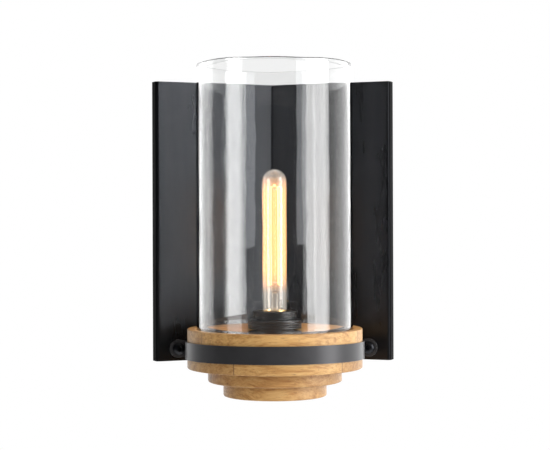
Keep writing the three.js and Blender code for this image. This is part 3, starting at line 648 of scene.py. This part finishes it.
def bulb(brass, phenolic, wire):
    # The bulb's glass gets a painted glow round the filament.
    lamp_glass = clear_glass("bulb_glass_clear", (1.0, 0.975, 0.935), 40.0, 0.0002, glow=0.40)
    stem_glass = clear_glass("stem_glass_clear", (1.0, 0.995, 0.985), 40.0, 0.0002)
    top, radius, skin = 171, 12.9, 0.8
    dome = arc(radius, top - radius, 0, 90, 16)
    dome[-1] = (0, top)
    inner_dome = arc(radius - skin, top - radius, 90, 0, 16)
    inner_dome[0] = (0, top - skin)
    neck = [(11.3, 6), (11.3, 15), (12.2, 17), (12.2, 19.8), (12.6, 20.5), (radius, 21.6)]
    neck_inside = [(r - skin, z) for r, z in reversed(neck)]
    envelope = turned([*neck, *dome, *inner_dome, *neck_inside, neck[0]][:-1] + [(11.3, 6)], 72)
    piece("bulb_envelope", at_lamp(envelope), lamp_glass, "bulb", ["bulb_glass"], 60)
    flare = [(0, 6), (10.1, 6), (10.1, 8), (7.2, 9.6), (5.4, 12.5), (4.3, 17)]
    stem = turned([*flare, (3.6, 34), (3.1, 38), (1.6, 40), (0, 40)], 40)
    piece("glass_stem", at_lamp(stem), stem_glass, "bulb", ["bulb_stem"], 60)
    collar = [(1, 44), (2.2, 44.6), (2.2, 47), (1, 47.6)]
    crown = [(1, 150), (2.2, 150.6), (2.2, 154), (1.4, 155), (0, 155)]
    rod = turned([(0, 40.3), (1, 40.3), *collar, *crown], 24)
    piece("glass_rod", at_lamp(rod), stem_glass, "bulb", ["bulb_rod"], 60)

    piece("screw_base", at_lamp(screw_base()), brass, "bulb", ["bulb_base"], 50)
    refined("base_insulator", "bulb_insulator", phenolic, "bulb", 0.2)
    refined("base_contact", "bulb_tip", wire, "bulb_carrier", 0.2)
    filament(wire)


def screw_base():
    """The bulb's thin brass cap: a threaded wall with a closed shoulder below and a plain rim above."""
    low, high, outer, skin = -3.4, 15.4, 12.6, 0.35
    heights = [low + (high - low) * i / 62 for i in range(63)]
    rim = [(12.95, high + 0.8), (12.95, 19.4), (12.75, 19.8)]
    rim_inside = [(12.6, 19.4), (12.6, high + 0.8)]
    profile = [(10, low - 1.2), *((outer, z) for z in heights), *rim, *rim_inside]
    profile += [*((outer - skin, z) for z in reversed(heights)), (10, low - 0.8)]
    bm = turned(profile, 72, closed=True)
    wind([vert for vert in bm.verts if low - 0.01 <= vert.co.z <= high + 0.01], low, high, -1)
    return bm


def strand_point(turn, height, reach=7.5):
    """A point on the ring of six strands; whole turns are the strands themselves."""
    angle = (turn + 0.5) / 6 * math.tau
    return Vector((reach * math.sin(angle), -reach * math.cos(angle), height))


def bent_wire(name, points, thick, material, node, body="bulb"):
    """A round wire through points, made a mesh."""
    curve = bpy.data.curves.new(name, "CURVE")
    curve.dimensions = "3D"
    curve.bevel_depth = thick * MM
    curve.bevel_resolution = 2
    curve.resolution_u = 8
    curve.use_fill_caps = True
    spline = curve.splines.new("BEZIER")
    spline.bezier_points.add(len(points) - 1)
    for knot, point in zip(spline.bezier_points, points):
        knot.co = (point.x * MM, AXIS_Y + point.y * MM, WOOD_TOP + point.z * MM)
        knot.handle_left_type = knot.handle_right_type = "AUTO"
    drawn = bpy.data.objects.new(name, curve)
    bpy.context.scene.collection.objects.link(drawn)
    bpy.context.view_layer.update()
    bm = bmesh.new()
    bm.from_mesh(drawn.to_mesh())
    drawn.to_mesh_clear()
    bpy.data.objects.remove(drawn)
    bmesh.ops.remove_doubles(bm, verts=bm.verts, dist=1e-7)
    bmesh.ops.recalc_face_normals(bm, faces=bm.faces)
    return piece(name, bm, material, body, [node], 60)


def filament(wire):
    glow = glowing_wire()
    low, high = 47, 151
    points = []
    for i in range(6):
        heights = [low, low + 1.5, (low + high) / 2, high - 1.5, high]
        ordered = heights[::-1] if i % 2 else heights
        points += [strand_point(i, z) for z in ordered]
        if i < 5:
            points.append(strand_point(i + 0.5, low - 0.8 if i % 2 else high + 0.8, 7.2))
    bent_wire("filament", points, 0.42, glow, "bulb_filament")
    for name, turns, height in (("upper", (0.5, 2.5, 4.5), 149), ("lower", (1.5, 3.5), 49)):
        spider(name, turns, height, wire)
    for name, i in (("left", 0), ("right", 5)):
        foot = strand_point(i, 14, 6)
        path = [foot, strand_point(i, 36, 6), strand_point(i, low - 2.6)]
        bent_wire(f"feed_wire_{name}", path, 0.3, wire, f"filament_lead_{name}")


def spider(name, turns, height, wire):
    """Hooks that hold the filament's turns, round a collar on the glass rod."""
    collar = [(1.3, -0.6), (3.0, -0.4), (3.0, 0.4), (1.3, 0.6)]
    bm = turned([(radius, height + rise) for radius, rise in collar], 24, closed=True)
    for turn in turns:
        tip = strand_point(turn, height, 6.7)
        length = tip.xy.length - 2.8
        thin = {"segments": 10, "radius1": 0.25, "radius2": 0.25, "depth": length}
        made = bmesh.ops.create_cone(bm, cap_ends=True, **thin)["verts"]
        lay = Vector((tip.x, tip.y, 0)).to_track_quat("Z", "Y").to_matrix().to_4x4()
        middle = Vector((tip.x, tip.y, 0)).normalized() * (2.8 + length / 2)
        bmesh.ops.transform(bm, matrix=Matrix.Translation((middle.x, middle.y, height)) @ lay, verts=made)
    piece(f"hooks_{name}", at_lamp(bm), wire, "bulb", [f"filament_hooks_{name}"])


# ---- Steel and fasteners ----


def steel_parts(sheet, bar, bolt_black, zinc):
    refined("v_plate", "back_plate", sheet, size=0.35, segments=3)
    refined("strap_band", "strap", bar, size=0.5, segments=3)
    refined("rear_box", "wiring_box", sheet, size=0.25)
    refined("crossbar", "wall_bracket", zinc, size=0.2)
    for side in ("left", "right"):
        refined(f"button_bolt_{side}", f"strap_bolt_{side}", bolt_black, size=0.25)
        refined(f"bolt_washer_{side}", f"strap_washer_{side}", zinc, size=0.25)
        refined(f"hex_nut_{side}", f"strap_nut_{side}", zinc, size=0.4)
        refined(f"rear_box_screw_{side}", f"box_screw_{side}", bolt_black, size=0.15)
        refined(f"base_screw_{side}", f"plate_screw_{side}", zinc, size=0.15)
    for i in (1, 2, 3):
        refined(f"long_screw_{i}", f"stack_screw_{i}", zinc, size=0.15)


def wiring(brass, zinc):
    ceramic = moulded("cream_ceramic", (0.72, 0.69, 0.62), 0.45, 1400)
    refined("connector_block", "terminal_block", ceramic, size=0.5)
    for i in (1, 2, 3, 4):
        refined(f"connector_screw_{i}", f"terminal_screw_{i}", brass, size=0.1)
    refined("connector_fixing", "block_screw", zinc, size=0.15)
    refined("earth_screw", "ground_screw", brass, size=0.15)
    vinyl = moulded("black_vinyl", (0.020, 0.020, 0.021), 0.42, 500)
    refined("bushing", "lead_bushing", vinyl, size=0.2)
    refined("black_wire", "lead_live", vinyl, size=0.05)
    pale_vinyl = moulded("white_vinyl", (0.72, 0.71, 0.68), 0.42, 500)
    refined("white_wire", "lead_neutral", pale_vinyl, size=0.05)


EDGE_WEAR = edge_wear_group()
MOTTLE = mottle_group()
BOARDS = boards_group()

camera()
surroundings()
floor()
softbox("key_right", 70, 8, 1.7, 0.82, 1.6, 23)
softbox("key_wing", 38, 18, 1.7, 0.50, 1.2, 3.8, (0.94, 0.96, 1.0))
softbox("fill_front", 5, 10, 1.8, 1.4, 1.0, 18, mirrored=False)
bulb_light()

steel_sheet = black_steel("black_sheet", 0.30, (1.6, 1.6, 0.25), painted_shade_lips=True)
steel_bar = black_steel("black_bar", 0.30, (1, 1, 1), 0.6, (0.060, 0.059, 0.062), metallic=0.4)
steel_bolt = black_steel("black_bolt", 0.32, (1, 1, 1), 0.6)
zinc_plate = metal("zinc_plate", (0.62, 0.62, 0.60), (0.45, 0.45, 0.44), 0.32)
yellow_brass = metal("yellow_brass", (0.86, 0.60, 0.25), (0.66, 0.42, 0.15), 0.24, worn=0.5)
drawn_wire = metal("drawn_wire", (0.70, 0.66, 0.60), (0.52, 0.48, 0.43), 0.25)
black_phenolic = moulded("black_phenolic", (0.016, 0.016, 0.017), 0.30)

wood_base()
tube = glass_cylinder()
only_on(softbox("strip_left", -60, 6, 1.7, 0.72, 1.6, 8.5), tube)
only_on(softbox("strip_right", 51, 6, 1.7, 0.34, 1.6, 9.0), tube)
only_on(softbox("sheet_right", 67, 6, 1.7, 0.60, 1.6, 6.5), tube)
only_on(softbox("sheet_behind_left", -126, 6, 1.7, 1.6, 1.6, 10), tube)
socket(black_phenolic, yellow_brass, zinc_plate)
bulb(yellow_brass, black_phenolic, drawn_wire)
steel_parts(steel_sheet, steel_bar, steel_bolt, zinc_plate)
wiring(yellow_brass, zinc_plate)
